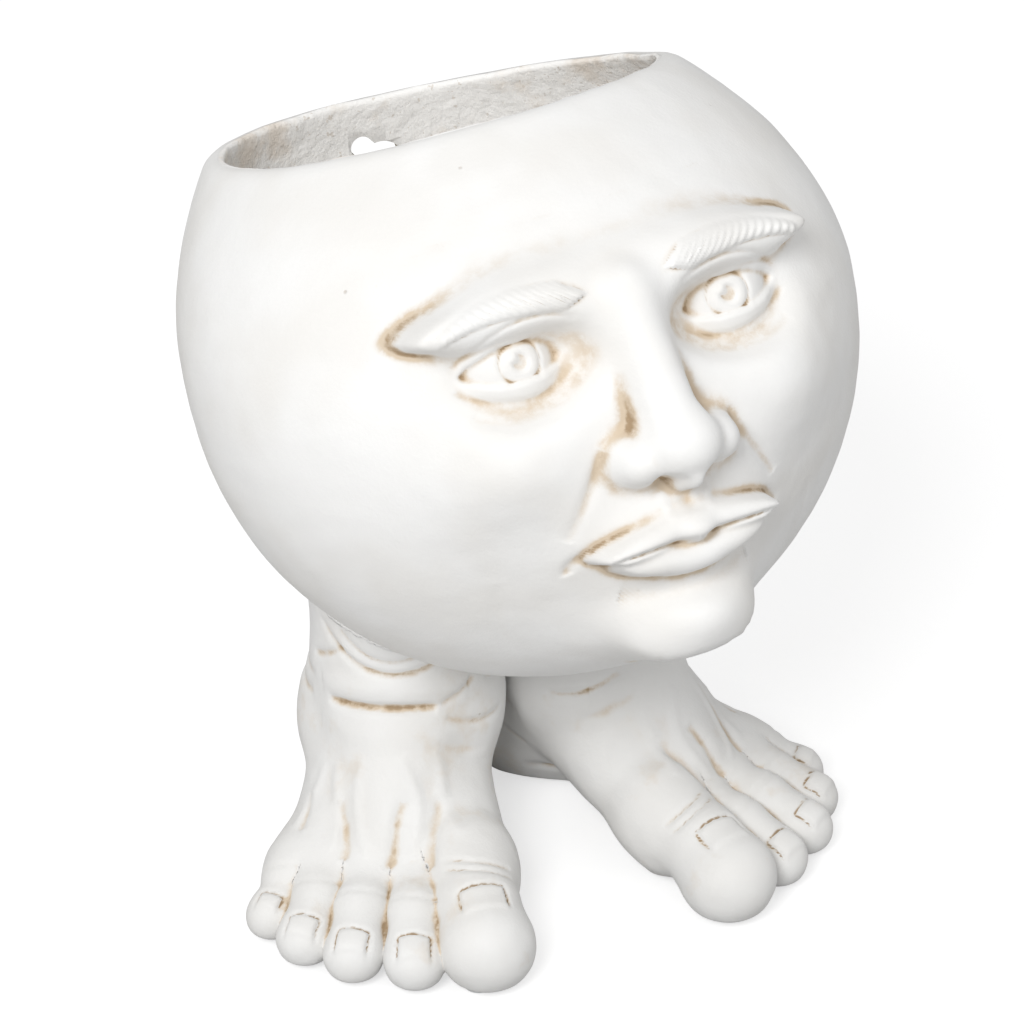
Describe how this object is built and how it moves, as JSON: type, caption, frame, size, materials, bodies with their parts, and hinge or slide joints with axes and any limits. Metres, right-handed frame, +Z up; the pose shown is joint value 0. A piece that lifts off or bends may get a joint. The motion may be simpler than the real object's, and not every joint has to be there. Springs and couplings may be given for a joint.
{
  "type": "head planter",
  "caption": "Hollow round plant pot shaped as a calm bald head, open at the top, tilted back and standing on big bare feet.",
  "frame": {"origin": "middle of the footprint box on the ground, under the pads of the soles", "axes": "+Z up, the toes and the face point to -Y, +X is the object's own left side"},
  "size_m": [0.2448, 0.2697, 0.3062],
  "materials": {
    "casting": "off-white cast stone resin with a thin brown antique wash in its recesses",
    "adhesive": "cured grey-white epoxy",
    "dowel": "plain steel rod",
    "pad": "clear soft bumper",
    "rubber": "matt black rubber"
  },
  "bodies": {
    "planter": {"head_bowl": "casting", "right_foot": "casting", "left_foot": "casting", "right_leg_bond": "adhesive", "left_leg_bond": "adhesive", "right_leg_pins": "dowel", "left_leg_pins": "dowel", "right_foot_pads": "pad", "left_foot_pads": "pad"},
    "plug": {"drain_plug": "rubber"}
  },
  "joints": [
    {"name": "plug_lift", "type": "slide", "parent": "planter", "child": "plug", "axis": [0, 0, 1], "range_m": [0, 0.06]}
  ]
}
